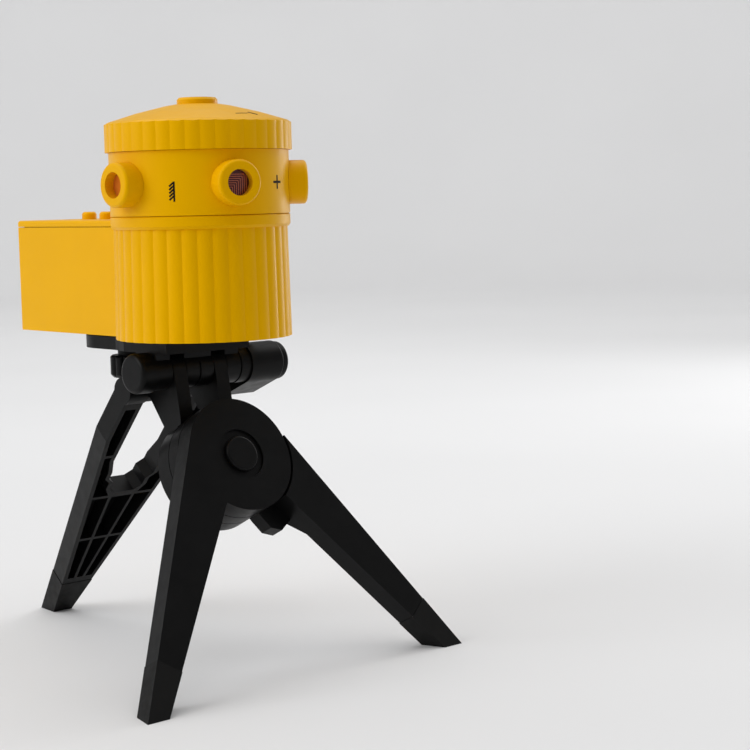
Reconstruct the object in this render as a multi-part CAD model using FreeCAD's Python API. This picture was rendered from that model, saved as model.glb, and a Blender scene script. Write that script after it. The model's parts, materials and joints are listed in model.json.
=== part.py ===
"""Turret laser level on a folding mini tripod: one STEP file per piece.

Millimetres, +Z up, floor at Z = 0. The head's vertical axis stands at X = Y = 0 while the
pieces are drawn: +Y runs to the battery box, X along the tilt hinge, the clamp lever at +X.
Every piece is moved back by ROW_Y at the end, to put the origin under the middle.
The hub, its two side legs and the neck are drawn in a leaning frame (see LEAN).
"""
import FreeCAD, Part
import math
import os
from FreeCAD import Placement, Rotation, Vector

# ---- driving dimensions -------------------------------------------------------------------
ROW_Y = 27.5            # middle of the whole object along Y, measured from the head's axis

# head
BASE_Z = 115.5          # underside of the head
SKIRT_TOP_Z = 155.3     # top of the fluted skirt
DECK_Z = 158.8          # top of the base, where the turret turns
RIM_LOW_Z = 181.2       # lower edge of the cap's rim
RIM_TOP_Z = 191.0       # shoulder of the cap
CONE_TOP_Z = 197.6      # flat at the top of the cap's cone
SKIRT_LOW_R = 31.4
SKIRT_TOP_R = 30.8
BAND_R = 31.8
BAND_BEVEL = 0.4        # bevel round the top of the base's band
TURRET_R = 31.8
RIM_R = 33.0
SKIRT_FLUTES = 36
RIM_FLUTES = 40
WALL = 2.0
RUN = 0.08              # radial clearance of a turning fit
GAP = 0.3               # clearance between parts that move past each other
DECK_GAP = 0.12         # running clearance under the turret

# battery box
BOX_HALF = 18.0
BOX_END_Y = 94.2
LID_LOW_Z = 155.0
LID_TOP_Z = 157.6
LID_SEAM = 0.25         # open joint line under the lid
BUTTON_Y = (58.8, 70.6)
BUTTON_R = 2.8
BUTTON_TOP_Z = 160.5
BUTTON_TRAVEL = 1.0
SWITCH_TOP_Z = 150.2
CELL_R = 5.2
CELL_X = 5.6
CELL_Z = 136.0
CELL_ENDS = (42.6, 87.4)
BOARD_Z = 146.0         # underside of the circuit board
BOARD_T = 1.6
HOLDER_LOW_Z = 128.0
HOLDER_TOP_Z = 138.0
DOOR_HALF = 13.0
DOOR_TOP_Z = 149.8
DOOR_HINGE_Y = 93.1
DOOR_HINGE_Z = 123.0

# turret nozzles
NOZZLES = 5
NOZZLE_FIRST = -88.0    # degrees, from -Y towards +X
NOZZLE_Z = 169.7
NOZZLE_R = 7.8
NOZZLE_BORE_R = 4.5
NOZZLE_FACE = 38.0      # distance of a nozzle's mouth from the head's axis
LENS_R = 5.0

# tilt hinge and platform
HINGE_Y = 9.5
HINGE_Z = 103.4
KNUCKLE_R = 6.6
BOLT_R = 2.5
NECK_IN = 6.3           # inner face of each neck wall, from the middle
NECK_OUT = 12.0
LUG_OUT = 18.5          # outer face of the platform's side lugs
PLATE_LOW_Z = 110.3
PLATE_TOP_Z = 115.0
PLATE_END_R = 16.5
SCREW_Y = 46.0          # axis of the camera screw
SCREW_R = 3.125         # 1/4 inch thread, smooth
WHEEL_R = 8.0

# clamp lever
LEVER_IN = 18.8
LEVER_OUT = 38.4
LEVER_R = 7.6
LEVER_REACH = 15.2
LEVER_TIP_R = 2.6
LEVER_DROP = 42.0       # degrees below level, towards +Y

# leaning hub frame: local Y is depth behind the front face, local Z is up along the hub
LEAN = 26.6
HUB_Y = -19.2
HUB_Z = 74.9
HUB_R = 21.0
LEG_T = 8.0             # thickness of a leg
OPEN = 36.2             # opening angle of each side leg
LEG_TAPER = 7.4         # angle of a side leg's outer edge
LEG_INNER = 0.4
BOOT_LINE = 87.0        # where the boot starts, from the hub
LAYER_C = (8.4, 14.4)   # depth of the right leg's disc
HUB_LAYER = (14.8, 21.8)
PIVOT_R = 3.0

# rear leg, drawn straight down from its pin
REAR_Y = 22.9
REAR_Z = 96.0
REAR_ANGLE = 41.0
REAR_HALF = 20.6
REAR_BEND = 22.0
REAR_TAPER_END = 112.0
REAR_FOOT_HALF = 6.0
REAR_BOOT = 106.0
REAR_LENGTH = 134.0
REAR_PIN_R = 1.5
REAR_RIBS = (31.0, 54.5, 79.0)     # cross ribs, measured down from the pin

SHELL = 1.8             # wall of the ribbed legs
RIB = 1.3

pieces = {}


# ---- helpers ------------------------------------------------------------------------------
def cyl(radius, start, end):
    """Solid cylinder between two points."""
    a, b = Vector(*start), Vector(*end)
    return Part.makeCylinder(radius, (b - a).Length, a, b - a)


def tube(r_out, r_in, start, end):
    return cyl(r_out, start, end).cut(cyl(r_in, start, end))


def block(x0, x1, y0, y1, z0, z1):
    return Part.makeBox(x1 - x0, y1 - y0, z1 - z0, Vector(x0, y0, z0))


def prism(points, axis, low, high):
    """Polygon swept along X, Y or Z. Its points are the other two coordinates, in order."""
    place = {"x": lambda p: Vector(low, p[0], p[1]),
             "y": lambda p: Vector(p[0], low, p[1]),
             "z": lambda p: Vector(p[0], p[1], low)}[axis]
    along = {"x": Vector(1, 0, 0), "y": Vector(0, 1, 0), "z": Vector(0, 0, 1)}[axis]
    corners = [place(p) for p in points]
    face = Part.Face(Part.makePolygon(corners + corners[:1]))
    return face.extrude(along * (high - low))


def mirrored(shape):
    """Copy on the other side of the middle plane X = 0."""
    return shape.mirror(Vector(0, 0, 0), Vector(1, 0, 0))


def fuse_all(shapes):
    result = shapes[0]
    for shape in shapes[1:]:
        result = result.fuse(shape)
    return result.removeSplitter()


def scallops(radius, count, depth, z):
    """Closed wire of outward arcs that meet in shallow valleys."""
    edges = []
    step = 2 * math.pi / count
    for i in range(count):
        ends = [Vector((radius - depth) * math.cos(a), (radius - depth) * math.sin(a), z)
                for a in (i * step, (i + 1) * step)]
        mid = (i + 0.5) * step
        crest = Vector(radius * math.cos(mid), radius * math.sin(mid), z)
        edges.append(Part.Arc(ends[0], crest, ends[1]).toShape())
    return Part.Wire(edges)


def revolve(points):
    """Solid of revolution about the head's axis from (radius, z) points."""
    corners = [Vector(r, 0, z) for r, z in points]
    face = Part.Face(Part.makePolygon(corners + corners[:1]))
    return face.revolve(Vector(0, 0, 0), Vector(0, 0, 1), 360)


def hexagon(across_flats, x0, x1, y, z):
    r = across_flats / math.sqrt(3)
    points = [(y + r * math.cos(math.radians(60 * k)), z + r * math.sin(math.radians(60 * k)))
              for k in range(6)]
    return prism(points, "x", x0, x1)


def largest(shape):
    return max(shape.Solids, key=lambda s: s.Volume)


def add(name, shape):
    pieces[name] = shape


# ---- placements ---------------------------------------------------------------------------
hub_frame = Placement(Vector(0, HUB_Y, HUB_Z), Rotation(Vector(1, 0, 0), -LEAN))
rear_frame = Placement(Vector(0, REAR_Y, REAR_Z), Rotation(Vector(1, 0, 0), REAR_ANGLE))


def in_hub(y, z):
    """A stand-frame point (y, z) given as the hub frame's (depth, height)."""
    p = hub_frame.inverse().multVec(Vector(0, y, z))
    return p.y, p.z


def placed(shape, frame):
    result = shape.copy()
    result.Placement = frame.multiply(result.Placement)
    return result


def above_floor(shape):
    floor = block(-200, 200, -200, 200, -80, 0)
    return shape.cut(floor)


# ---- ribbed plastic leg -------------------------------------------------------------------
def ribs(pocket, line, top, bottom, pitch, y0, y1):
    """Level cross ribs and one long rib between two points, cut to the pocket."""
    reach = 40.0
    count = max(1, round((top - bottom) / pitch))
    heights = [top - (i + 1) * (top - bottom) / (count + 1) for i in range(count)]
    bars = [block(-reach, reach, y0, y1, z - RIB / 2, z + RIB / 2) for z in heights]
    (x_top, z_top), (x_low, z_low) = line
    rail = [(x_top, z_top), (x_top + RIB, z_top), (x_low + RIB, z_low), (x_low, z_low)]
    bars.append(prism(rail, "y", y0, y1))
    room = pocket.common(block(-reach, reach, y0 - 1, y1, -200, 50))
    return [bar.common(room) for bar in bars]


def side_leg_points(inset=0.0, length=116.0):
    """Half-width outline of a side leg hanging straight down, pivot at the origin."""
    t = math.radians(LEG_TAPER)
    r = HUB_R - inset
    top = (r * math.cos(t), -r * math.sin(t))
    foot_x = top[0] - (length + top[1]) * math.tan(t)
    return [(LEG_INNER + inset, top[1]), top, (foot_x, -length), (LEG_INNER + inset, -length)]


def side_leg_bar(inset, z_top, z_low, y0, y1):
    """The leg's outline between two heights, as a slab between two depths."""
    slab = prism(side_leg_points(inset), "y", y0, y1)
    return slab.common(block(-5, 40, y0 - 1, y1 + 1, z_low, z_top))


def hollow_back(bar_top, y_floor):
    """Pocket with ribs for the back of a side leg: returns the tool and its ribs."""
    pocket = side_leg_bar(SHELL, bar_top, -BOOT_LINE + 3.5, y_floor, LEG_T + 1)
    line = ((7.6, bar_top + 1), (4.4, -BOOT_LINE + 2.5))
    return pocket, ribs(pocket, line, bar_top, -BOOT_LINE + 3.5, 20.0, y_floor, LEG_T)


def tenon(depth_in):
    """Tongue of a side leg inside its boot."""
    return side_leg_bar(1.6 + depth_in, -BOOT_LINE + 0.5, -BOOT_LINE - 11 + depth_in,
                        1.6 + depth_in, LEG_T - 1.6 - depth_in)


def boot_shell():
    outer = side_leg_bar(-0.15, -BOOT_LINE - 0.1, -115.5, -0.15, LEG_T + 0.15)
    return outer.cut(tenon(-0.05))


def leg_left_shape():
    """Left leg, on the +X side before it is mirrored: disc and bar lie in the front layer."""
    disc = cyl(HUB_R, (0, 0, 0), (0, LEG_T, 0))
    bar = side_leg_bar(0, 0, -BOOT_LINE, 0, LEG_T)
    body = disc.fuse(bar)
    pocket, bars = hollow_back(-24, 2.4)
    body = fuse_all([body.cut(pocket)] + bars + [tenon(0)])
    recess = cyl(9.2, (0, -1, 0), (0, 0.9, 0))
    return body.cut(recess).cut(cyl(PIVOT_R + RUN, (0, -1, 0), (0, LEG_T + 1, 0)))


def leg_right_shape():
    """Right leg: its disc lies behind the left leg's, its bar comes forward beside it."""
    near, far = LAYER_C
    bar = side_leg_bar(0, -5, -BOOT_LINE, 0, LEG_T)
    clearance = cyl(HUB_R + 0.9, (0, -1, 0), (0, near, 0))
    gusset = prism([(LEG_T - 0.1, -8), (far, -8), (far, -26), (LEG_T - 0.1, -39)], "x", -5, 40)
    shoulder = prism(side_leg_points(), "y", LEG_T - 0.1, far).common(gusset)
    body = bar.cut(clearance).fuse(shoulder).cut(clearance)
    pocket, bars = hollow_back(-43, 2.4)
    body = body.cut(pocket)
    disc = cyl(HUB_R, (0, near, 0), (0, far, 0))
    # stop lug that shows below the front disc
    lug = prism([(-7.6, -21), (-8.2, -26.5), (-5.6, -30.4), (3, -31), (3, -12), (-6, -14)],
                "y", near, far)
    body = fuse_all([body, disc, lug] + bars + [tenon(0)])
    return body.cut(cyl(PIVOT_R + RUN, (0, near - 1, 0), (0, far + 1, 0)))


def opened(shape, side):
    """Swing a straight-down leg out: side is +1 to the right, -1 to the left."""
    turned = shape if side > 0 else mirrored(shape)
    turned = turned.copy()
    turned.rotate(Vector(0, 0, 0), Vector(0, 1, 0), -side * OPEN)
    return placed(turned, hub_frame)


def build_side_legs():
    add("leg_left", opened(leg_left_shape(), -1))
    add("foot_left", largest(above_floor(opened(boot_shell(), -1))))
    add("leg_right", opened(leg_right_shape(), 1))
    add("foot_right", largest(above_floor(opened(boot_shell(), 1))))


# ---- rear leg -----------------------------------------------------------------------------
def rear_edge(s):
    """Half-width of the rear leg at a distance s below its pin."""
    if s < REAR_BEND:
        return REAR_HALF
    share = (s - REAR_BEND) / (REAR_TAPER_END - REAR_BEND)
    return REAR_HALF + (REAR_FOOT_HALF - REAR_HALF) * share


def rear_slab(inset, s0, s1, y0, y1):
    steps = [s for s in (s0, REAR_BEND, s1) if s0 <= s <= s1]
    right = [(rear_edge(s) - inset, -s) for s in steps]
    left = [(-x, z) for x, z in reversed(right)]
    return prism(right + left, "y", y0, y1)


def fork_opening(grow, y0, y1):
    """Space between the two arms: wide at the top, two steps in, then a blunt end."""
    wide = NECK_OUT + GAP
    half = [(wide, 8.0), (wide, -34.0), (10.2, -40.5), (10.2, -44.0), (7.4, -46.5), (7.4, -50.0),
            (4.6, -52.5)]
    right = [(x + grow, z - (grow if z < -50 else 0)) for x, z in half]
    left = [(-x, z) for x, z in reversed(right)]
    return prism(right + left, "y", y0, y1)


def build_rear_leg():
    half_t = LEG_T / 2
    slab = rear_slab(0, 0, REAR_BOOT, -half_t, half_t)
    round_top = cyl(5.0, (-REAR_HALF, 0, 0), (REAR_HALF, 0, 0))
    body = slab.fuse(round_top).cut(fork_opening(0, -half_t - 2, half_t + 2))
    pocket = rear_slab(SHELL, 6.0, REAR_BOOT - 3, -half_t - 1, half_t - 2.2)
    pocket = pocket.cut(fork_opening(SHELL, -half_t - 2, half_t + 2))
    bars = []
    for depth in REAR_RIBS:
        bars.append(block(-REAR_HALF, REAR_HALF, -half_t, half_t - 2, -depth - RIB / 2, -depth + RIB / 2))
    for side in (-1, 1):
        long_rib = [(side * 6.4, -50), (side * (6.4 - RIB), -50), (side * (2.6 - RIB), -104),
                    (side * 2.6, -104)]
        bars.append(prism(long_rib, "y", -half_t, half_t - 2))
    room = pocket.common(block(-40, 40, -half_t, half_t, -150, 20))
    bars = [bar.common(room) for bar in bars]
    tongue = rear_slab(1.6, REAR_BOOT - 0.5, REAR_BOOT + 10, -half_t + 1.6, half_t - 1.6)
    body = fuse_all([body.cut(pocket)] + bars + [tongue])
    body = body.cut(cyl(REAR_PIN_R + RUN, (-19.8, 0, 0), (19.8, 0, 0)))
    add("leg_rear", placed(body, rear_frame))
    boot = rear_slab(-0.15, REAR_BOOT + 0.1, REAR_LENGTH, -half_t - 0.15, half_t + 0.15)
    socket = rear_slab(1.55, REAR_BOOT - 1, REAR_BOOT + 10.05, -half_t + 1.55, half_t - 1.55)
    add("foot_rear", largest(above_floor(placed(boot.cut(socket), rear_frame))))
    pin = cyl(REAR_PIN_R, (-19.6, 0, 0), (19.6, 0, 0))
    add("rear_leg_pin", placed(pin, rear_frame))


# ---- neck and hub -------------------------------------------------------------------------
def build_neck():
    hd, hh = in_hub(HINGE_Y, HINGE_Z)
    rd, rh = in_hub(REAR_Y, REAR_Z)
    near, far = HUB_LAYER
    side = [(hd - KNUCKLE_R + 0.2, hh - 1.5), (hd - 1.5, hh - 18.5), (near, 12), (far, 12),
            (far, hh - 20), (rd - 3.2, rh - 4.4), (rd + 4.2, rh - 2.0), (rd + 2.0, rh + 4.2),
            (hd + 2.0, hh + 6.0)]
    wall = prism(side, "x", NECK_IN, NECK_OUT)
    wall = wall.fuse(cyl(KNUCKLE_R, (NECK_IN, hd, hh), (NECK_OUT, hd, hh)))
    wall = wall.fuse(cyl(4.6, (NECK_IN, rd, rh), (NECK_OUT, rd, rh)))
    web = prism([(far - 3.5, 8), (far, 8), (far, hh - 20), (far + 2.2, hh - 14),
                 (far - 1.5, hh - 13.5), (far - 3.5, hh - 16)], "x", -NECK_IN - 1, NECK_IN + 1)
    hub = cyl(HUB_R, (0, near, 0), (0, far, 0))
    relief = tube(HUB_R - 3, 9.0, (0, far - 2.6, 0), (0, far + 1, 0))
    relief = relief.cut(block(-NECK_OUT, NECK_OUT, 0, 40, 0, 40))
    neck = fuse_all([hub.cut(relief), wall, mirrored(wall), web])
    neck = neck.cut(cyl(HUB_R + GAP, (0, -1, 0), (0, LAYER_C[1] + GAP, 0)))
    bores = [cyl(BOLT_R + RUN, (-30, hd, hh), (30, hd, hh)),
             cyl(REAR_PIN_R, (-30, rd, rh), (30, rd, rh)),
             cyl(PIVOT_R, (0, near - 1, 0), (0, far + 1, 0))]
    for bore in bores:
        neck = neck.cut(bore)
    add("neck", placed(neck, hub_frame))

    shank = cyl(PIVOT_R, (0, 1.0, 0), (0, far + 1.5, 0))
    groove = tube(PIVOT_R + 1, PIVOT_R - 0.5, (0, far + 0.2, 0), (0, far + 1.0, 0))
    add("hub_pin", placed(shank.cut(groove), hub_frame))
    cap = cyl(6.5, (0, -0.9, 0), (0, 0.6, 0))
    rim = [e for e in cap.Edges if abs(e.BoundBox.YMax + 0.9) < 1e-6]
    cap = cap.makeFillet(0.8, rim).fuse(cyl(2.0, (0, 0.5, 0), (0, 1.0, 0)))
    add("hub_pin_cap", placed(cap, hub_frame))
    clip = tube(5.4, PIVOT_R - 0.48, (0, far + 0.25, 0), (0, far + 0.95, 0))
    add("hub_retaining_ring", placed(clip, hub_frame))


# ---- platform, hinge bolt, lever, screw ---------------------------------------------------
def hinge_cyl(radius, x0, x1):
    return cyl(radius, (x0, HINGE_Y, HINGE_Z), (x1, HINGE_Y, HINGE_Z))


def build_platform():
    front = block(-LUG_OUT, LUG_OUT, -2, 24, PLATE_LOW_Z, PLATE_TOP_Z)
    middle = block(-PLATE_END_R, PLATE_END_R, 20, SCREW_Y, PLATE_LOW_Z, PLATE_TOP_Z)
    blend = prism([(-LUG_OUT, 24), (-PLATE_END_R, 32), (PLATE_END_R, 32), (LUG_OUT, 24)],
                  "z", PLATE_LOW_Z, PLATE_TOP_Z)
    end = cyl(PLATE_END_R, (0, SCREW_Y, PLATE_LOW_Z), (0, SCREW_Y, PLATE_TOP_Z))
    plate = fuse_all([front, middle, blend, end])
    plate = plate.cut(block(-13, 13, 2, 42, PLATE_LOW_Z - 1, PLATE_LOW_Z + 2)
                      .cut(block(-1, 1, 0, 50, 100, 120)))
    lug_block = [(HINGE_Y - 4.6, HINGE_Z), (HINGE_Y + 5.6, HINGE_Z),
                 (HINGE_Y + 7.6, PLATE_LOW_Z + 2.5), (HINGE_Y - 5.2, PLATE_LOW_Z + 2.5)]
    lugs = []
    for x0, x1 in ((-LUG_OUT, -NECK_OUT - GAP), (-NECK_IN + GAP, NECK_IN - GAP),
                   (NECK_OUT + GAP, LUG_OUT)):
        lugs.append(prism(lug_block, "x", x0, x1).fuse(hinge_cyl(KNUCKLE_R, x0, x1)))
    body = fuse_all([plate] + lugs)
    groove = hinge_cyl(KNUCKLE_R + 2, -0.35, 0.35).cut(hinge_cyl(KNUCKLE_R - 0.5, -1, 1))
    body = body.cut(groove.common(block(-2, 2, 0, 20, 90, HINGE_Z + 3)))
    for side in (-1, 1):
        body = body.cut(hinge_cyl(KNUCKLE_R + GAP, side * (NECK_IN - GAP), side * (NECK_OUT + GAP)))
    body = body.cut(hinge_cyl(BOLT_R, -30, 30))
    body = body.cut(cyl(SCREW_R + RUN, (0, SCREW_Y, 100), (0, SCREW_Y, 120)))
    pad_bed = pad_outline(0, PLATE_TOP_Z - 0.7, PLATE_TOP_Z + 1)
    add("platform", body.cut(pad_bed))
    pad = pad_outline(0.15, PLATE_TOP_Z - 0.7, BASE_Z - 0.05)
    add("platform_pad", pad.cut(cyl(5.5, (0, SCREW_Y, 100), (0, SCREW_Y, 120))))


def pad_outline(inset, z0, z1):
    half = PLATE_END_R - 2 - inset
    return block(-half, half, 1 + inset, SCREW_Y, z0, z1).fuse(
        cyl(half, (0, SCREW_Y, z0), (0, SCREW_Y, z1))).removeSplitter()


def build_hinge_bolt():
    head = hexagon(8.0, -23.9, -20.6, HINGE_Y, HINGE_Z)
    bolt = head.fuse(hinge_cyl(BOLT_R, -20.7, 37.4)).removeSplitter()
    add("hinge_bolt", bolt)
    cap = hinge_cyl(7.2, -25.6, -LUG_OUT - 0.05)
    rim = [e for e in cap.Edges if abs(e.BoundBox.XMax + 25.6) < 1e-6]
    cap = cap.makeFillet(1.7, rim)
    cap = cap.cut(hexagon(8.1, -24.0, -20.5, HINGE_Y, HINGE_Z)).cut(hinge_cyl(BOLT_R, -21, -18))
    add("hinge_bolt_cap", cap)


def lever_profile(r_hub, r_tip, x0, x1):
    """Teardrop along the hinge: hub circle, tip circle and the straight flanks between."""
    a = math.radians(-LEVER_DROP)
    reach = Vector(0, math.cos(a), math.sin(a))
    tip = Vector(0, HINGE_Y, HINGE_Z) + reach * LEVER_REACH
    spread = math.acos((r_hub - r_tip) / LEVER_REACH)
    corners = []
    for radius, centre, turn in ((r_hub, Vector(0, HINGE_Y, HINGE_Z), spread), (r_tip, tip, spread),
                                 (r_tip, tip, -spread), (r_hub, Vector(0, HINGE_Y, HINGE_Z), -spread)):
        corners.append((centre.y + radius * math.cos(a + turn), centre.z + radius * math.sin(a + turn)))
    body = prism(corners, "x", x0, x1).fuse(hinge_cyl(r_hub, x0, x1))
    return body.fuse(cyl(r_tip, (x0, tip.y, tip.z), (x1, tip.y, tip.z))).removeSplitter()


def build_lever():
    flange = hinge_cyl(6.9, LEVER_IN, 23.4)
    paddle = lever_profile(LEVER_R, LEVER_TIP_R, 23.3, LEVER_OUT)
    outer = [e for e in paddle.Edges if e.BoundBox.XMin > LEVER_OUT - 1e-6]
    paddle = paddle.makeFillet(1.0, outer)
    body = flange.fuse(paddle).removeSplitter()
    body = body.cut(hinge_cyl(BOLT_R + RUN, 10, 38))
    body = body.cut(hexagon(8.1, 32.8, LEVER_OUT + 1, HINGE_Y, HINGE_Z))
    add("clamp_lever", body)
    nut = hexagon(8.0, 32.9, 36.9, HINGE_Y, HINGE_Z)
    add("lever_nut", nut.cut(hinge_cyl(BOLT_R + 0.05, 30, 40)))
    cap = hinge_cyl(7.1, LEVER_OUT + 0.05, 41.2)
    rim = [e for e in cap.Edges if e.BoundBox.XMin > 41.2 - 1e-6]
    cap = cap.makeFillet(1.4, rim)
    cap = cap.fuse(hexagon(7.9, 37.7, LEVER_OUT + 0.1, HINGE_Y, HINGE_Z))
    add("lever_cap", cap.removeSplitter())


def build_camera_screw():
    low, high = 98.4, 106.8
    rim = Part.Face(scallops(WHEEL_R, 12, 0.9, low)).extrude(Vector(0, 0, high - low))
    dome = revolve([(0, low), (WHEEL_R - 1.2, low), (WHEEL_R, low + 1.2), (WHEEL_R, high - 0.8),
                    (WHEEL_R - 0.8, high), (0, high)])
    wheel = rim.common(dome).fuse(cyl(5.0, (0, 0, high - 1), (0, 0, PLATE_LOW_Z - GAP)))
    wheel = wheel.cut(cyl(SCREW_R, (0, 0, low + 2), (0, 0, 130))).removeSplitter()
    wheel.translate(Vector(0, SCREW_Y, 0))
    add("thumb_wheel", wheel)
    screw = cyl(SCREW_R, (0, SCREW_Y, low + 2), (0, SCREW_Y, 121.5))
    tip = [e for e in screw.Edges if e.BoundBox.ZMin > 121.4]
    add("camera_screw", screw.makeChamfer(0.6, tip))


# ---- head: base housing -------------------------------------------------------------------
def drafted_skirt():
    low = scallops(SKIRT_LOW_R, SKIRT_FLUTES, 0.45, BASE_Z)
    high = scallops(SKIRT_TOP_R, SKIRT_FLUTES, 0.45, SKIRT_TOP_Z)
    return Part.makeLoft([low, high], True, True)


def rounded_box(x, y0, y1, z0, z1, r):
    body = block(-x, x, y0, y1, z0, z1)
    corners = [e for e in body.Edges
               if e.BoundBox.ZLength > z1 - z0 - 1e-6 and e.BoundBox.YMin > y1 - 1e-6]
    return body.makeFillet(r, corners)


def inner_space(inset, z0, z1):
    """Inside of the skirt and the box, shrunk by inset."""
    r = SKIRT_TOP_R - WALL - 0.6 - inset
    half = BOX_HALF - WALL - inset
    return cyl(r, (0, 0, z0), (0, 0, z1)).fuse(
        block(-half, half, 0, BOX_END_Y - WALL - inset, z0, z1)).removeSplitter()


SCREW_POSTS = ((-20.0, -12.0), (20.0, -12.0), (-12.8, 88.6), (12.8, 88.6))


def build_base_housing():
    box = rounded_box(BOX_HALF, 10, BOX_END_Y, BASE_Z, LID_LOW_Z, 1.8)
    band = revolve([(0, SKIRT_TOP_Z - 1), (BAND_R - 0.6, SKIRT_TOP_Z - 1), (BAND_R, SKIRT_TOP_Z),
                    (BAND_R, DECK_Z - BAND_BEVEL), (BAND_R - BAND_BEVEL, DECK_Z), (0, DECK_Z)])
    body = fuse_all([drafted_skirt(), box, band])
    drum = cyl(SKIRT_TOP_R - WALL - 0.6, (0, 0, BASE_Z - 1), (0, 0, DECK_Z - 2.4))
    bay = block(-BOX_HALF + WALL, BOX_HALF - WALL, 0, BOX_END_Y - WALL, BASE_Z - 1, LID_LOW_Z + 1)
    body = body.cut(drum)
    body = body.cut(bay.cut(cyl(BAND_R + 5, (0, 0, SKIRT_TOP_Z - 1.8), (0, 0, 170))))
    spindle = cyl(4.0, (0, 0, DECK_Z - 1), (0, 0, 190.2))
    posts = []
    for x, y in SCREW_POSTS:
        posts.append(cyl(3.0, (x, y, BASE_Z + 2.4), (x, y, 128 if y > 0 else DECK_Z - 2)))
        if y > 0:
            posts.append(block(min(x, x * 1.3), max(x, x * 1.3), y - 1, y + 1, BASE_Z + 2.4, 128))
            posts.append(block(x - 1, x + 1, y, BOX_END_Y - 1, BASE_Z + 2.4, 121))
    inside = BOX_HALF - WALL
    for side in (-1, 1):
        for reach, y0, y1, top in ((12.6, 52, 73, BOARD_Z - 0.05), (11.6, 45, 80, HOLDER_TOP_Z + 1.5)):
            ends = sorted((side * reach, side * (inside + 0.5)))
            posts.append(block(ends[0], ends[1], y0, y1, top - 1.45, top))
    cradle = block(-5.0, 5.0, -22.0, -10.0, DECK_Z - 1, NOZZLE_Z)
    cradle = cradle.cut(cyl(3.5, (0, -30, NOZZLE_Z), (0, 0, NOZZLE_Z)))
    body = fuse_all([body, spindle, cradle] + posts)
    for x, y in SCREW_POSTS:
        body = body.cut(cyl(1.1, (x, y, BASE_Z), (x, y, 126.5)))
    body = body.cut(cyl(1.45, (0, 0, 180), (0, 0, 191)))
    body = body.cut(cyl(1.6, (0, -8.2, DECK_Z - 3), (0, -8.2, DECK_Z + 1)))
    low = DOOR_HINGE_Z - 1.05 - GAP
    doorway = block(-DOOR_HALF - GAP, DOOR_HALF + GAP, BOX_END_Y - WALL - 1, BOX_END_Y + 1, low,
                    DOOR_TOP_Z + GAP)
    pin_hole = cyl(0.7 + RUN, (-15, DOOR_HINGE_Y, DOOR_HINGE_Z), (15, DOOR_HINGE_Y, DOOR_HINGE_Z))
    add("base_housing", body.cut(doorway).cut(pin_hole))


def build_bottom_cover():
    plate = inner_space(0.1, BASE_Z + 0.1, BASE_Z + 2.2)
    boss = cyl(6.8, (0, SCREW_Y, BASE_Z + 0.1), (0, SCREW_Y, 126))
    body = plate.fuse(boss).cut(cyl(4.6, (0, SCREW_Y, BASE_Z - 1), (0, SCREW_Y, 124.2)))
    for x in (-10.0, 10.0):
        body = body.fuse(block(x - 0.7, x + 0.7, 56, 84, BASE_Z + 2, HOLDER_LOW_Z - 0.05))
    screws = []
    for x, y in SCREW_POSTS:
        body = body.cut(cyl(1.4, (x, y, BASE_Z), (x, y, 130)))
        body = body.cut(cyl(2.6, (x, y, BASE_Z - 1), (x, y, BASE_Z + 1.5)))
        screw = cyl(2.4, (x, y, BASE_Z + 0.2), (x, y, BASE_Z + 1.5))
        slot = block(x - 1.5, x + 1.5, y - 0.3, y + 0.3, BASE_Z, BASE_Z + 0.8)
        cross = block(x - 0.3, x + 0.3, y - 1.5, y + 1.5, BASE_Z, BASE_Z + 0.8)
        screw = screw.fuse(cyl(1.08, (x, y, BASE_Z + 1.4), (x, y, 125))).cut(slot).cut(cross)
        screws.append(screw.removeSplitter())
    add("bottom_cover", body.removeSplitter())
    add("cover_screws", Part.makeCompound(screws))
    nut = tube(4.58, SCREW_R + RUN, (0, SCREW_Y, BASE_Z + 0.2), (0, SCREW_Y, 124.0))
    add("tripod_nut", nut)


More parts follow.
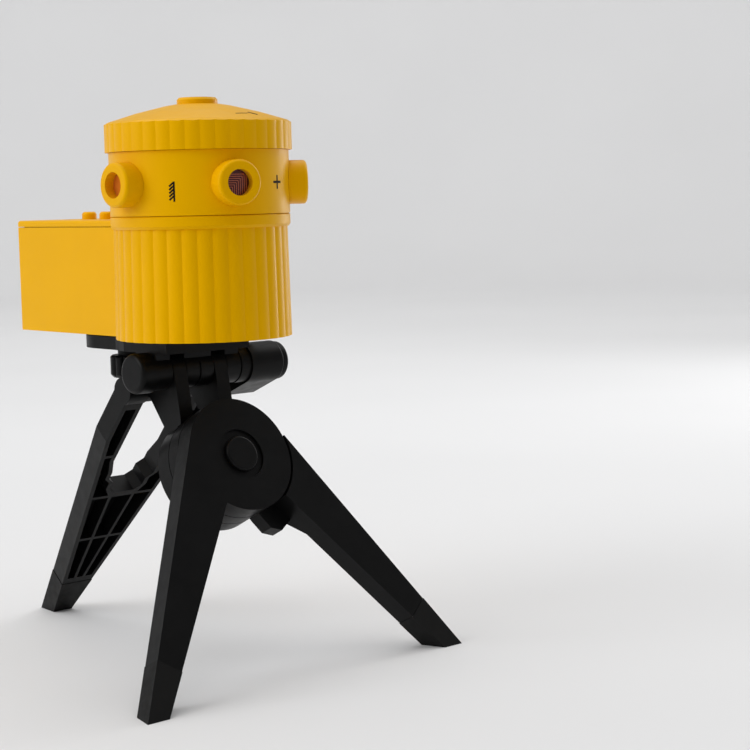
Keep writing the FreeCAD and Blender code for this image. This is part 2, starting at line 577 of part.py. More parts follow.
def build_lid():
    lid = rounded_box(BOX_HALF, 20, BOX_END_Y, LID_LOW_Z + LID_SEAM, LID_TOP_Z, 1.8)
    lid = lid.cut(cyl(BAND_R + 0.15, (0, 0, 100), (0, 0, 170)))
    top = [e for e in lid.Edges if e.BoundBox.ZMin > LID_TOP_Z - 1e-6 and e.BoundBox.YMax > 31]
    lid = lid.makeFillet(1.1, top)
    lip = block(-15.8, 15.8, 37, BOX_END_Y - WALL - 0.2, LID_LOW_Z - 1.6, LID_LOW_Z + 0.5)
    lip = lip.cut(block(-14.4, 14.4, 38.4, BOX_END_Y - WALL - 1.6, LID_LOW_Z - 2, LID_LOW_Z + 0.2))
    cradle = block(-4.6, 4.6, 75.5, 90.0, 150.4, LID_LOW_Z + 0.5)
    posts = [cyl(1.3, (x, y, BOARD_Z + BOARD_T + 0.05), (x, y, LID_LOW_Z + 0.5))
             for x in (-12.4, 12.4) for y in (52.5, 72.5)]
    lid = fuse_all([lid, lip, cradle] + posts)
    lid = lid.cut(cyl(3.1, (0, 77.0, 154.2), (0, 88.5, 154.2)))
    lid = lid.cut(block(-2.6, 2.6, 77.6, 87.9, 155, 160))
    for y in BUTTON_Y:
        lid = lid.cut(cyl(BUTTON_R + RUN, (0, y, 140), (0, y, 170)))
    add("box_lid", lid)
    glass = cyl(3.05, (0, 77.1, 154.2), (0, 88.4, 154.2))
    add("vial_tube", glass.cut(cyl(2.4, (0, 77.9, 154.2), (0, 87.6, 154.2))))
    fluid = cyl(2.38, (0, 77.95, 154.2), (0, 87.55, 154.2))
    bubble = cyl(1.5, (0, 81.0, 155.9), (0, 84.5, 155.9))
    add("vial_fluid", largest(fluid.cut(bubble)))
    for number, y in enumerate(BUTTON_Y, 1):
        stem = cyl(BUTTON_R, (0, y, SWITCH_TOP_Z + BUTTON_TRAVEL + GAP), (0, y, BUTTON_TOP_Z))
        crown = [e for e in stem.Edges if e.BoundBox.ZMin > BUTTON_TOP_Z - 1e-6]
        button = stem.makeFillet(1.2, crown)
        flange = cyl(3.8, (0, y, LID_LOW_Z - 1.5), (0, y, LID_LOW_Z - 0.1))
        button = button.fuse(flange).removeSplitter()
        add("button_%d" % number, button)


def build_electrics():
    board_top = BOARD_Z + BOARD_T
    add("circuit_board", block(-14.0, 14.0, 50.0, 75.0, BOARD_Z, board_top))
    switches = []
    for y in BUTTON_Y:
        can = block(-3.0, 3.0, y - 3.0, y + 3.0, board_top, SWITCH_TOP_Z - 0.2)
        plunger = cyl(1.7, (0, y, SWITCH_TOP_Z - 0.3), (0, y, SWITCH_TOP_Z))
        switches.append(can.fuse(plunger).removeSplitter())
    add("tact_switches", Part.makeCompound(switches))
    module = tube(3.48, 2.0, (0, -24.0, NOZZLE_Z), (0, -20.0, NOZZLE_Z))
    module = module.fuse(cyl(3.48, (0, -20.5, NOZZLE_Z), (0, -9.0, NOZZLE_Z))).removeSplitter()
    add("laser_module", module)
    optic = cyl(1.98, (0, -22.5, NOZZLE_Z), (0, -21.0, NOZZLE_Z))
    add("laser_collimator", optic)
    for number, side in enumerate((-1, 1), 1):
        x = side * CELL_X
        tail, nose = CELL_ENDS if side < 0 else CELL_ENDS[::-1]
        shoulder = nose - math.copysign(1.0, nose - tail)
        body = cyl(CELL_R, (x, tail, CELL_Z), (x, shoulder, CELL_Z))
        body = body.fuse(cyl(1.9, (x, shoulder, CELL_Z), (x, nose, CELL_Z)))
        add("battery_cell_%d" % number, body.removeSplitter())
    low, high = HOLDER_LOW_Z, HOLDER_TOP_Z
    end_wall = block(-12.4, 12.4, 38.6, 40.0, low, 144)
    floor = block(-12.4, 12.4, 38.6, 88.0, low, low + 1.6)
    wall = block(11.2, 12.4, 38.6, 88.0, low, high)
    bed = block(-11.5, 11.5, 38.6, 88.0, low + 1, 133.0)
    for x in (-CELL_X, CELL_X):
        bed = bed.cut(cyl(CELL_R + 0.2, (x, 40, CELL_Z), (x, 90, CELL_Z)))
    add("battery_holder", fuse_all([end_wall, floor, wall, mirrored(wall), bed]))
    plate = block(1.0, 10.0, 40.05, 40.4, 133.05, 141)
    nub = cyl(1.8, (CELL_X, 40.3, CELL_Z), (CELL_X, CELL_ENDS[0] - 0.05, CELL_Z))
    add("contact_plates", Part.makeCompound([plate.fuse(nub), mirrored(plate)]))


def coil(x, y0, length, radius, wire):
    """Straight compression coil lying along Y."""
    turns = 2.5
    helix = Part.makeHelix(length / turns, length, radius)
    section = Part.Wire(Part.makeCircle(wire, Vector(radius, 0, 0), Vector(0, 1, 0)))
    spring = Part.Wire(helix.Edges).makePipeShell([section], True, True)
    spring.rotate(Vector(0, 0, 0), Vector(1, 0, 0), -90)
    spring.translate(Vector(x, y0, CELL_Z))
    return spring


def build_battery_door():
    add("contact_spring", coil(-CELL_X, 40.65, 1.65, 2.8, 0.22))
    low = DOOR_HINGE_Z
    panel = block(-DOOR_HALF, DOOR_HALF, BOX_END_Y - WALL, BOX_END_Y, low, DOOR_TOP_Z)
    barrel = cyl(1.05, (-DOOR_HALF, DOOR_HINGE_Y, low), (DOOR_HALF, DOOR_HINGE_Y, low))
    pins = cyl(0.7, (-14.6, DOOR_HINGE_Y, low), (14.6, DOOR_HINGE_Y, low))
    grip = cyl(3.0, (-5.0, BOX_END_Y + 2.3, 146.5), (5.0, BOX_END_Y + 2.3, 146.5))
    panel = panel.cut(block(-20, 20, BOX_END_Y - WALL - 1, DOOR_HINGE_Y - 0.9, low - 1, low + 1.3))
    door = fuse_all([panel, barrel, pins]).cut(grip)
    add("battery_door", door)
    bridge = block(-10, 10, 91.5, BOX_END_Y - WALL - 0.02, 131, 141)
    bumps = [cyl(1.6, (x, CELL_ENDS[1] + 0.05, CELL_Z), (x, 91.6, CELL_Z)) for x in (-CELL_X, CELL_X)]
    add("door_contact", fuse_all([bridge] + bumps))


# ---- head: turret -------------------------------------------------------------------------
def nozzle_frame(index):
    """Local +X points outwards along nozzle number index."""
    azimuth = NOZZLE_FIRST + index * 360.0 / NOZZLES
    return Placement(Vector(0, 0, NOZZLE_Z), Rotation(Vector(0, 0, 1), azimuth - 90))


def build_turret():
    low = DECK_Z + DECK_GAP
    ring = revolve([(29.4, low), (TURRET_R, low), (TURRET_R, RIM_LOW_Z - 0.1),
                    (30.8, RIM_LOW_Z - 0.1), (30.8, 185.5), (29.4, 185.5)])
    for i in range(NOZZLES):
        ring = ring.cut(placed(cyl(6.4, (25, 0, 0), (40, 0, 0)), nozzle_frame(i)))
    add("turret_ring", ring)

    drum = cyl(TURRET_R + 0.05, (0, 0, 150), (0, 0, 190))
    for i in range(NOZZLES):
        collar = cyl(NOZZLE_R, (29.5, 0, 0), (NOZZLE_FACE, 0, 0))
        mouth = [e for e in collar.Edges if e.BoundBox.XMin > NOZZLE_FACE - 1e-6]
        collar = placed(collar.makeFillet(1.3, mouth), nozzle_frame(i)).cut(drum)
        spigot = placed(cyl(6.35, (28.6, 0, 0), (33.5, 0, 0)), nozzle_frame(i))
        bore = placed(cyl(NOZZLE_BORE_R, (25, 0, 0), (40, 0, 0)), nozzle_frame(i))
        seat = placed(cyl(LENS_R, (25, 0, 0), (34.4, 0, 0)), nozzle_frame(i))
        body = collar.fuse(spigot).cut(bore).cut(seat).removeSplitter()
        add("nozzle_%d" % (i + 1), largest(body))
        lens = cyl(LENS_R - 0.04, (33.2, 0, 0), (34.38, 0, 0))
        add("lens_%d" % (i + 1), placed(lens, nozzle_frame(i)))

    outer = revolve([(0, RIM_LOW_Z), (RIM_R + 1, RIM_LOW_Z), (RIM_R + 1, RIM_TOP_Z - 0.9),
                     (RIM_R - 0.1, RIM_TOP_Z - 0.1), (RIM_R - 1.2, RIM_TOP_Z + 0.6),
                     (22.0, 194.6), (12.0, 197.0), (8.5, CONE_TOP_Z), (0, CONE_TOP_Z)])
    prism_rim = Part.Face(scallops(RIM_R, RIM_FLUTES, 0.28, RIM_LOW_Z)).extrude(Vector(0, 0, 20))
    cap = outer.common(prism_rim)
    hollow = revolve([(0, RIM_LOW_Z - 1), (30.9, RIM_LOW_Z - 1), (30.9, 189.2), (10.0, 194.0),
                      (0, 194.0)])
    cap = cap.cut(hollow).fuse(cyl(7.6, (0, 0, 184), (0, 0, 195)))
    cap = cap.cut(cyl(4.0 + RUN, (0, 0, 180), (0, 0, 191)))
    cap = cap.cut(cyl(6.0, (0, 0, 190.2), (0, 0, 200))).removeSplitter()
    add("turret_cap", cap)
    plug = revolve([(0, CONE_TOP_Z + 0.05), (7.2, CONE_TOP_Z + 0.05), (7.2, 199.2), (6.5, 200.0),
                    (0, 200.0)])
    stem = tube(5.95, 5.0, (0, 0, 195.0), (0, 0, CONE_TOP_Z + 0.3))
    add("cap_plug", plug.fuse(stem).removeSplitter())
    add("spindle_washer", tube(5.6, 1.5, (0, 0, 190.5), (0, 0, 191.2)))
    screw = cyl(3.0, (0, 0, 191.2), (0, 0, 193.2)).fuse(cyl(1.43, (0, 0, 181.5), (0, 0, 191.3)))
    slots = block(-1.8, 1.8, -0.35, 0.35, 192.2, 194).fuse(block(-0.35, 0.35, -1.8, 1.8, 192.2, 194))
    add("spindle_screw", screw.cut(slots).removeSplitter())


def main():
    build_neck()
    build_side_legs()
    build_rear_leg()
    build_platform()
    build_hinge_bolt()
    build_lever()
    build_camera_screw()
    build_base_housing()
    build_bottom_cover()
    build_lid()
    build_electrics()
    build_battery_door()
    build_turret()
    os.makedirs("parts", exist_ok=True)
    whole = Part.makeCompound(list(pieces.values())).BoundBox
    for name, shape in pieces.items():
        shape.translate(Vector(0, -ROW_Y, 0))
        shape.exportStep("parts/%s.step" % name)
        print("%-20s solids %d valid %s volume %.1f" % (
            name, len(shape.Solids), shape.isValid(), shape.Volume))
    print("box x %.2f %.2f  y %.2f %.2f  z %.2f %.2f" % (
        whole.XMin, whole.XMax, whole.YMin - ROW_Y, whole.YMax - ROW_Y, whole.ZMin, whole.ZMax))


main()
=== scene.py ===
import json
import math

import bpy
from mathutils import Matrix, Vector


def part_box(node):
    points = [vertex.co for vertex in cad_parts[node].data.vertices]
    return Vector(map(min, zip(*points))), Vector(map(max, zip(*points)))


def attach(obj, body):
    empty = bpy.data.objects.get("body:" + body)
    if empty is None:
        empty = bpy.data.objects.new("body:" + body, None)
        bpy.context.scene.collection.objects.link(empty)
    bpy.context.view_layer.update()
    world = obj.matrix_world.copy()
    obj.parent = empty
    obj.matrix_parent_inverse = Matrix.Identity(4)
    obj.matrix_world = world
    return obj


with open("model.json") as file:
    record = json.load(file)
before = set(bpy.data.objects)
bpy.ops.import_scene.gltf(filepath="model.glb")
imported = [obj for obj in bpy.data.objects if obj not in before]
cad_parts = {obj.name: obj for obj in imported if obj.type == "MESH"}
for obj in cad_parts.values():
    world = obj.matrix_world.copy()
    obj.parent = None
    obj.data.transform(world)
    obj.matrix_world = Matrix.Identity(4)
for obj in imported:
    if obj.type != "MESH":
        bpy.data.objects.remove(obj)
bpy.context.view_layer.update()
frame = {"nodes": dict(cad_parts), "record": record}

MM = 0.001
MICRON = 0.000001
nodes = frame["nodes"]

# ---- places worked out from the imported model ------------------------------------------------
ring_low, ring_high = (Vector(corner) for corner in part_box("turret_ring"))
HEAD = Vector(((ring_low.x + ring_high.x) / 2, (ring_low.y + ring_high.y) / 2, 0))
TURRET_R = (ring_high.x - ring_low.x) / 2
nozzle_low, nozzle_high = (Vector(corner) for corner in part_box("nozzle_1"))
NOZZLE_Z = (nozzle_low.z + nozzle_high.z) / 2

# ---- sizes of the model that its boxes don't give -------------------------------------------
NOZZLE_FIRST = -88.0                             # azimuth of nozzle 1
NOZZLE_STEP = 72.0
LENS_FACE = 34.42 * MM                           # just outside a lens, from the head's axis
LENS_VISIBLE_R = 4.5 * MM
CONE_OUTER = Vector((31.8 * MM, 0, 191.6 * MM))  # radius and height where the cap's cone starts
CONE_INNER = Vector((22.0 * MM, 0, 194.6 * MM))  # and where its slope changes

# ---- printed marks --------------------------------------------------------------------------
INK_LIFT = 0.02 * MM     # a mark stands this far off the surface
INK_DEPTH = 0.03 * MM

LEVEL_AZIMUTH = -53.0    # a bar with hatches on one side
LEVEL_DROP = 2.6 * MM    # its middle is this far below the nozzles' axes
LEVEL_HALF = 3.4 * MM
LEVEL_STROKE = 0.6 * MM
HATCHES = 5
HATCH_FIRST = 0.2 * MM   # from the bar's top to the first hatch
HATCH_PITCH = 1.15 * MM
HATCH_ACROSS = 1.7 * MM
HATCH_DOWN = 1.45 * MM

PLUS_AZIMUTH = 20.0
PLUS_ARM = 2.4 * MM
PLUS_STROKE = 0.8 * MM

CAP_MARK_AZIMUTH = 2.0   # a thin pointer and a bold tick, as (across, up) from a point of the cone
CAP_MARK_R = 26.0 * MM
POINTER = ((-4.4 * MM, 0), (1.0 * MM, 0))
POINTER_STROKE = 0.55 * MM
TICK = ((2.4 * MM, 1.6 * MM), (4.4 * MM, -1.2 * MM))
TICK_STROKE = 1.2 * MM
STROKE_STEPS = 6         # cuts along a stroke, so that it follows the curve under it
POINTER_STEPS = 12

GRATING_LINES = 11
GRATING_PITCH = 0.72 * MM
GRATING_STROKE = 0.2 * MM
GRATING_FILL = 0.98      # part of the lens's visible radius that the lines reach

# ---- materials: scales are in noise features per metre --------------------------------------
NOISE_LOW, NOISE_HIGH = 0.35, 0.65               # where most of the noise's values lie
DRIFT_SCALE, GLOSS_SCALE, GRAIN_SCALE, FLOW_SCALE = 45, 260, 5200, 70
METAL_DRIFT_SCALE = 300
METAL_GRAIN = 4 * MICRON
CLEAR_DRIFT_SCALE, CLEAR_GLOSS_SCALE = 200, 500
CLEAR_SHADE = 0.8                                # its darker tone, as a share of its tint
PLASTIC_IOR = 1.5
CLEAR_IOR = 1.49
WHITE = (1.0, 1.0, 1.0)

PAPER_LIGHT, PAPER_DARK = (0.765, 0.765, 0.77), (0.75, 0.75, 0.755)
PAPER_SCALE = 3
PAPER_ROUGHNESS = 0.7

# ---- stage, lights and camera ---------------------------------------------------------------
FLOOR_R = 2.3            # the flat part
BEND_R = 0.9             # radius of the curve up into the wall, and so the wall's height
STAGE_SIDES = 96
BEND_STEPS = 12

WORLD_STRENGTH = 0.33
MIDDLE = (0, 0, 0.1)     # of the object
LIGHTS = (               # name, place, target, size, watts
    ("left_window", (-1.5, 0.5, 0.9), MIDDLE, (1.2, 1.2), 15),
    ("top_sheet", (0.2, 0.3, 2.2), (0.2, 0.3, 0), (3.2, 3.2), 35),
    ("right_edge", (1.1, 0.1, 0.5), MIDDLE, (0.3, 1.0), 3.0),
    ("back_wash", (1.1, 1.2, 2.1), (2.1, 2.3, 0.3), (4.0, 2.0), 17),
)

CAMERA_PLACE = (-0.3908, -0.5444, 0.1646)
CAMERA_TURN = -0.741     # radians from looking along +Y
CAMERA_DOWN = 0.0995     # radians below level
CAMERA_ROLL = -0.023
CAMERA_LENS = 86.8       # millimetres, on a sensor 36 wide
CAMERA_SENSOR = 36.0


# ---- shader helpers -------------------------------------------------------------------------
def new_material(name):
    material = bpy.data.materials.new(name)
    material.use_nodes = True
    tree = material.node_tree
    return material, tree, tree.nodes["Principled BSDF"]


def noise(tree, scale, detail):
    """Fractal noise in object space."""
    coords = tree.nodes.new("ShaderNodeTexCoord")
    field = tree.nodes.new("ShaderNodeTexNoise")
    field.inputs["Scale"].default_value = scale
    field.inputs["Detail"].default_value = detail
    tree.links.new(coords.outputs["Object"], field.inputs["Vector"])
    return field.outputs["Fac"]


def spread_noise(tree, scale, detail, low, high):
    """Noise stretched to run from low to high."""
    spread = tree.nodes.new("ShaderNodeMapRange")
    spread.inputs["From Min"].default_value = NOISE_LOW
    spread.inputs["From Max"].default_value = NOISE_HIGH
    spread.inputs["To Min"].default_value = low
    spread.inputs["To Max"].default_value = high
    tree.links.new(noise(tree, scale, detail), spread.inputs["Value"])
    return spread.outputs["Result"]


def drift_colour(tree, shader, scale, detail, first, second):
    """Base colour that drifts between two tones."""
    mix = tree.nodes.new("ShaderNodeMix")
    mix.data_type = "RGBA"
    mix.inputs["A"].default_value = (*first, 1)
    mix.inputs["B"].default_value = (*second, 1)
    tree.links.new(spread_noise(tree, scale, detail, 0, 1), mix.inputs["Factor"])
    tree.links.new(mix.outputs["Result"], shader.inputs["Base Color"])


def uneven_gloss(tree, shader, scale, detail, gloss):
    """Roughness that runs between the two values of gloss."""
    tree.links.new(spread_noise(tree, scale, detail, *gloss), shader.inputs["Roughness"])


def bump(tree, shader, height, distance, before=None):
    bumped = tree.nodes.new("ShaderNodeBump")
    bumped.inputs["Distance"].default_value = distance
    tree.links.new(height, bumped.inputs["Height"])
    if before is not None:
        tree.links.new(before, bumped.inputs["Normal"])
    tree.links.new(bumped.outputs["Normal"], shader.inputs["Normal"])
    return bumped.outputs["Normal"]


# ---- materials ------------------------------------------------------------------------------
def moulded_plastic(name, light, dark, gloss, grain, flow, specular=0.5, specular_tint=WHITE):
    """Moulded plastic: faint colour drift, uneven gloss, tool grain and slow waviness."""
    material, tree, shader = new_material(name)
    drift_colour(tree, shader, DRIFT_SCALE, 4, light, dark)
    uneven_gloss(tree, shader, GLOSS_SCALE, 5, gloss)
    fine = bump(tree, shader, noise(tree, GRAIN_SCALE, 2), grain)
    bump(tree, shader, noise(tree, FLOW_SCALE, 1), flow, before=fine)
    shader.inputs["IOR"].default_value = PLASTIC_IOR
    shader.inputs["Specular IOR Level"].default_value = specular
    shader.inputs["Specular Tint"].default_value = (*specular_tint, 1)
    return material


def metal(name, light, dark, gloss, scratch_scale):
    material, tree, shader = new_material(name)
    drift_colour(tree, shader, METAL_DRIFT_SCALE, 4, light, dark)
    uneven_gloss(tree, shader, scratch_scale, 6, gloss)
    shader.inputs["Metallic"].default_value = 1.0
    bump(tree, shader, noise(tree, scratch_scale, 2), METAL_GRAIN)
    return material


def clear_plastic(name, tint, gloss, transmission):
    material, tree, shader = new_material(name)
    shade = tuple(CLEAR_SHADE * c for c in tint)
    drift_colour(tree, shader, CLEAR_DRIFT_SCALE, 2, tint, shade)
    uneven_gloss(tree, shader, CLEAR_GLOSS_SCALE, 2, gloss)
    shader.inputs["Transmission Weight"].default_value = transmission
    shader.inputs["IOR"].default_value = CLEAR_IOR
    return material


yellow = moulded_plastic("yellow_abs", (0.828, 0.426, 0.0), (0.806, 0.412, 0.0), (0.34, 0.42),
                         3 * MICRON, 12 * MICRON, 0.3, (1.0, 0.6, 0.02))
black = moulded_plastic("black_nylon", (0.0030, 0.0030, 0.0031), (0.0042, 0.0042, 0.0043),
                        (0.34, 0.42), 4 * MICRON, 5 * MICRON, 0.12)
rubber = moulded_plastic("boot_rubber", (0.0042, 0.0041, 0.0040), (0.0058, 0.0057, 0.0055),
                         (0.46, 0.58), 10 * MICRON, 6 * MICRON, 0.14)
ink = moulded_plastic("printed_ink", (0.006, 0.004, 0.003), (0.009, 0.006, 0.004), (0.5, 0.6),
                      3 * MICRON, 5 * MICRON, 0.1)
grating = moulded_plastic("grating_lines", (0.62, 0.17, 0.07), (0.50, 0.11, 0.05), (0.2, 0.3),
                          3 * MICRON, 5 * MICRON)
board = moulded_plastic("solder_mask", (0.01, 0.12, 0.04), (0.008, 0.09, 0.03), (0.2, 0.32),
                        5 * MICRON, 10 * MICRON)
jacket = moulded_plastic("cell_jacket", (0.03, 0.035, 0.05), (0.04, 0.045, 0.06), (0.22, 0.34),
                         3 * MICRON, 10 * MICRON)
steel = metal("zinc_plate", (0.60, 0.60, 0.62), (0.50, 0.50, 0.53), (0.22, 0.4), 2500)
nickel = metal("nickel_plate", (0.72, 0.71, 0.69), (0.62, 0.61, 0.60), (0.12, 0.24), 2500)
brass = metal("machined_brass", (0.72, 0.52, 0.20), (0.62, 0.43, 0.15), (0.2, 0.35), 3000)
red_lens = clear_plastic("red_lens", (0.10, 0.006, 0.008), (0.06, 0.14), 0.2)
# lenses 1, 3, 4 and 5: their bright orange is painted light, the glow of yellow light reflected
# inside the nozzle bores
lens_painted_glow = clear_plastic("lens_painted_glow", (0.95, 0.27, 0.03), (0.08, 0.2), 0.25)
vial_clear = clear_plastic("vial_acrylic", (0.93, 0.98, 0.93), (0.02, 0.06), 0.95)
vial_spirit = clear_plastic("vial_spirit", (0.62, 0.88, 0.12), (0.01, 0.03), 0.9)

# record slot -> Blender material; lens 2 differs from the other four
BY_SLOT = {"yellow_plastic": yellow, "black_plastic": black, "foot_rubber": rubber, "steel": steel,
           "contact_metal": nickel, "brass": brass, "laser_lens": lens_painted_glow,
           "vial_glass": vial_clear, "vial_fluid": vial_spirit, "board": board,
           "cell_jacket": jacket}
BY_NODE = {"lens_2": red_lens}

# width of the rounded edge, on the mouldings that have one
EDGES = {"leg_left": 0.5 * MM, "leg_right": 0.5 * MM, "leg_rear": 0.3 * MM, "neck": 0.4 * MM,
         "platform": 0.5 * MM, "clamp_lever": 0.4 * MM, "hinge_bolt_cap": 0.5 * MM,
         "lever_cap": 0.4 * MM, "hub_pin_cap": 0.3 * MM, "thumb_wheel": 0.3 * MM,
         "foot_left": 0.7 * MM, "foot_right": 0.7 * MM, "foot_rear": 0.7 * MM,
         "base_housing": 0.25 * MM, "turret_cap": 0.25 * MM, "turret_ring": 0.15 * MM,
         "cap_plug": 0.35 * MM, "box_lid": 0.15 * MM, "battery_door": 0.2 * MM}
EDGE_ANGLE = math.radians(32)    # edges sharper than this are rounded
EDGE_SEGMENTS = 2


def dress_nodes():
    """Give each piece of the model its material, and those in EDGES rounded edges."""
    for sub in frame["record"]["subparts"]:
        name = sub["node"]
        obj = nodes[name]
        for slot in obj.material_slots:
            slot.material = BY_NODE.get(name, BY_SLOT[sub["material_slot"]])
        if name in EDGES:
            bevel = obj.modifiers.new("rounded_edges", "BEVEL")
            bevel.width = EDGES[name]
            bevel.segments = EDGE_SEGMENTS
            bevel.limit_method = "ANGLE"
            bevel.angle_limit = EDGE_ANGLE
            bevel.harden_normals = True
            bevel.use_clamp_overlap = True


# ---- strokes laid on a surface --------------------------------------------------------------
def add_mesh(name, points, faces):
    mesh = bpy.data.meshes.new(name)
    mesh.from_pydata(points, [], faces)
    mesh.update()
    obj = bpy.data.objects.new(name, mesh)
    bpy.context.collection.objects.link(obj)
    return obj


def strip_outline(start, end, width):
    """Corners of a straight stroke between two flat points (across, up)."""
    a, b = Vector(start), Vector(end)
    side = Vector((-(b - a).y, (b - a).x)).normalized() * width / 2
    return a - side, b - side, b + side, a + side


def stroke_mesh(name, strokes, width, place, steps):
    """Thin bars on a surface: place(across, up, lift) turns flat points into space."""
    points, faces = [], []
    for start, end in strokes:
        a0, b0, b1, a1 = strip_outline(start, end, width)
        base = len(points)
        for i in range(steps + 1):
            t = i / steps
            for edge_a, edge_b in ((a0, b0), (a1, b1)):
                flat = edge_a.lerp(edge_b, t)
                for lift in (INK_LIFT, INK_LIFT + INK_DEPTH):
                    points.append(place(flat.x, flat.y, lift))
        for i in range(steps):
            p, q = base + 4 * i, base + 4 * (i + 1)
            faces += [(p + 1, q + 1, q + 3, p + 3), (p, p + 2, q + 2, q),
                      (p, q, q + 1, p + 1), (p + 2, p + 3, q + 3, q + 2)]
        last = base + 4 * steps
        faces += [(base, base + 1, base + 3, base + 2), (last, last + 2, last + 3, last + 1)]
    return add_mesh(name, points, faces)


def ride_turret(obj, material):
    obj.data.materials.append(material)
    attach(obj, "turret")


def print_mark(name, strokes, width, place, steps=STROKE_STEPS):
    ride_turret(stroke_mesh(name, strokes, width, place, steps), ink)


def directions(azimuth):
    """Unit vectors out along an azimuth, and sideways to it as azimuth grows."""
    angle = math.radians(azimuth)
    out = Vector((math.sin(angle), -math.cos(angle), 0))
    side = Vector((math.cos(angle), math.sin(angle), 0))
    return out, side


def on_turret(azimuth, height):
    """Flat points wrapped round the turret: across grows with azimuth, up is +Z."""
    def place(across, up, lift):
        angle = math.radians(azimuth) + across / TURRET_R
        radius = TURRET_R + lift
        return HEAD + Vector((radius * math.sin(angle), -radius * math.cos(angle), height + up))
    return place


def on_cap(azimuth, radius):
    """Flat points laid on the cap's cone: across runs round it, up runs towards its middle."""
    out, side = directions(azimuth)
    slope = (CONE_INNER.z - CONE_OUTER.z) / (CONE_OUTER.x - CONE_INNER.x)

    def place(across, up, lift):
        flat = out * (radius - up) + side * across
        rise = CONE_OUTER.z + (CONE_OUTER.x - flat.length) * slope
        return HEAD + flat + Vector((0, 0, rise + lift))
    return place


def on_lens(azimuth):
    """Flat points just outside a lens: across grows with azimuth, up is +Z."""
    out, side = directions(azimuth)
    centre = HEAD + out * LENS_FACE + Vector((0, 0, NOZZLE_Z))

    def place(across, up, lift):
        return centre + side * across + Vector((0, 0, up)) + out * lift
    return place


# ---- marks and lens lines -------------------------------------------------------------------
def build_turret_marks():
    """A hatched level mark and a plus mark, each about midway between two nozzles."""
    bars = [((0, LEVEL_HALF), (0, -LEVEL_HALF))]
    for i in range(HATCHES):
        top = LEVEL_HALF - (HATCH_FIRST + HATCH_PITCH * i)
        bars.append(((0, top), (-HATCH_ACROSS, top - HATCH_DOWN)))
    print_mark("mark_level", bars, LEVEL_STROKE, on_turret(LEVEL_AZIMUTH, NOZZLE_Z - LEVEL_DROP))
    arms = [((-PLUS_ARM, 0), (PLUS_ARM, 0)), ((0, -PLUS_ARM), (0, PLUS_ARM))]
    print_mark("mark_plus", arms, PLUS_STROKE, on_turret(PLUS_AZIMUTH, NOZZLE_Z))


def build_cap_mark():
    """A thin pointer with a bold tick, printed on the cap's cone."""
    place = on_cap(CAP_MARK_AZIMUTH, CAP_MARK_R)
    print_mark("mark_cap_pointer", [POINTER], POINTER_STROKE, place, POINTER_STEPS)
    print_mark("mark_cap_tick", [TICK], TICK_STROKE, place)


def build_lens_lines():
    """Line grating of lens 2: nested corners that run across and then down.

    A line whose corner would fall outside the lens runs straight from edge to edge.
    """
    reach = LENS_VISIBLE_R * GRATING_FILL
    strokes = []
    for i in range(GRATING_LINES):
        corner = -reach + GRATING_PITCH * (i + 1)
        chord = math.sqrt(reach ** 2 - corner ** 2)
        if corner >= chord:
            strokes.append(((corner, -chord), (corner, chord)))
        elif corner > -chord:
            strokes.append(((corner, -chord), (corner, corner)))
            strokes.append(((-chord, corner), (corner, corner)))
    place = on_lens(NOZZLE_FIRST + NOZZLE_STEP)
    lines = stroke_mesh("lens_2_grating", strokes, GRATING_STROKE, place, 1)
    ride_turret(lines, grating)


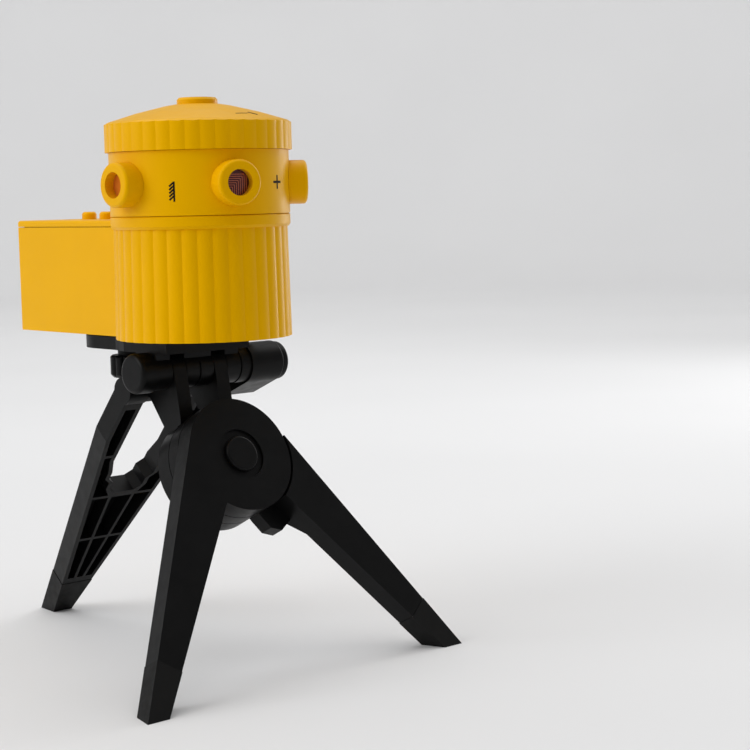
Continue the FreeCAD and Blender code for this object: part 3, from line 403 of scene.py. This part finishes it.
# ---- floor, light and camera ----------------------------------------------------------------
def build_stage():
    """A round pale sheet: a floor that curves up into a low wall on every side."""
    profile = [(FLOOR_R, 0.0)]
    for i in range(1, BEND_STEPS + 1):
        a = math.pi / 2 * i / BEND_STEPS
        profile.append((FLOOR_R + BEND_R * math.sin(a), BEND_R * (1 - math.cos(a))))
    points, faces = [(0.0, 0.0, 0.0)], []
    for reach, up in profile:
        for k in range(STAGE_SIDES):
            turn = 2 * math.pi * k / STAGE_SIDES
            points.append((reach * math.cos(turn), reach * math.sin(turn), up))
    for k in range(STAGE_SIDES):
        after = (k + 1) % STAGE_SIDES
        faces.append((0, 1 + k, 1 + after))
        for ring in range(BEND_STEPS):
            low, high = 1 + ring * STAGE_SIDES, 1 + (ring + 1) * STAGE_SIDES
            faces.append((low + k, high + k, high + after, low + after))
    floor = add_mesh("floor", points, faces)
    for polygon in floor.data.polygons:
        polygon.use_smooth = True
    paper, tree, shader = new_material("pale_paper")
    drift_colour(tree, shader, PAPER_SCALE, 2, PAPER_LIGHT, PAPER_DARK)
    shader.inputs["Roughness"].default_value = PAPER_ROUGHNESS
    floor.data.materials.append(paper)


def area_light(name, place, target, size, power):
    data = bpy.data.lights.new(name, "AREA")
    data.shape = "RECTANGLE"
    data.size, data.size_y = size
    data.energy = power
    light = bpy.data.objects.new(name, data)
    light.location = place
    light.rotation_euler = (Vector(target) - Vector(place)).to_track_quat("-Z", "Y").to_euler()
    bpy.context.collection.objects.link(light)


def build_lights():
    """An even white world and soft area lights, shown with plain sRGB colours."""
    world = bpy.data.worlds.new("studio")
    world.use_nodes = True
    background = world.node_tree.nodes["Background"]
    background.inputs["Color"].default_value = (*WHITE, 1)
    background.inputs["Strength"].default_value = WORLD_STRENGTH
    bpy.context.scene.world = world
    bpy.context.scene.view_settings.view_transform = "Standard"
    for light in LIGHTS:
        area_light(*light)


def build_camera():
    """Level with the turret, looking a little down, rolled so that the head's axis leans."""
    right = Vector((math.cos(CAMERA_TURN), math.sin(CAMERA_TURN), 0))
    ahead = Vector((-math.sin(CAMERA_TURN), math.cos(CAMERA_TURN), 0))
    up = ahead * math.sin(CAMERA_DOWN) + Vector((0, 0, 1)) * math.cos(CAMERA_DOWN)
    axis_x = right * math.cos(CAMERA_ROLL) + up * math.sin(CAMERA_ROLL)
    axis_y = up * math.cos(CAMERA_ROLL) - right * math.sin(CAMERA_ROLL)
    axis_z = axis_x.cross(axis_y)
    data = bpy.data.cameras.new("camera")
    data.sensor_width = CAMERA_SENSOR
    data.lens = CAMERA_LENS
    camera = bpy.data.objects.new("camera", data)
    turned = Matrix((axis_x, axis_y, axis_z)).transposed().to_4x4()
    camera.matrix_world = Matrix.Translation(CAMERA_PLACE) @ turned
    bpy.context.collection.objects.link(camera)
    bpy.context.scene.camera = camera


build_camera()
build_stage()
build_lights()
dress_nodes()
build_turret_marks()
build_cap_mark()
build_lens_lines()
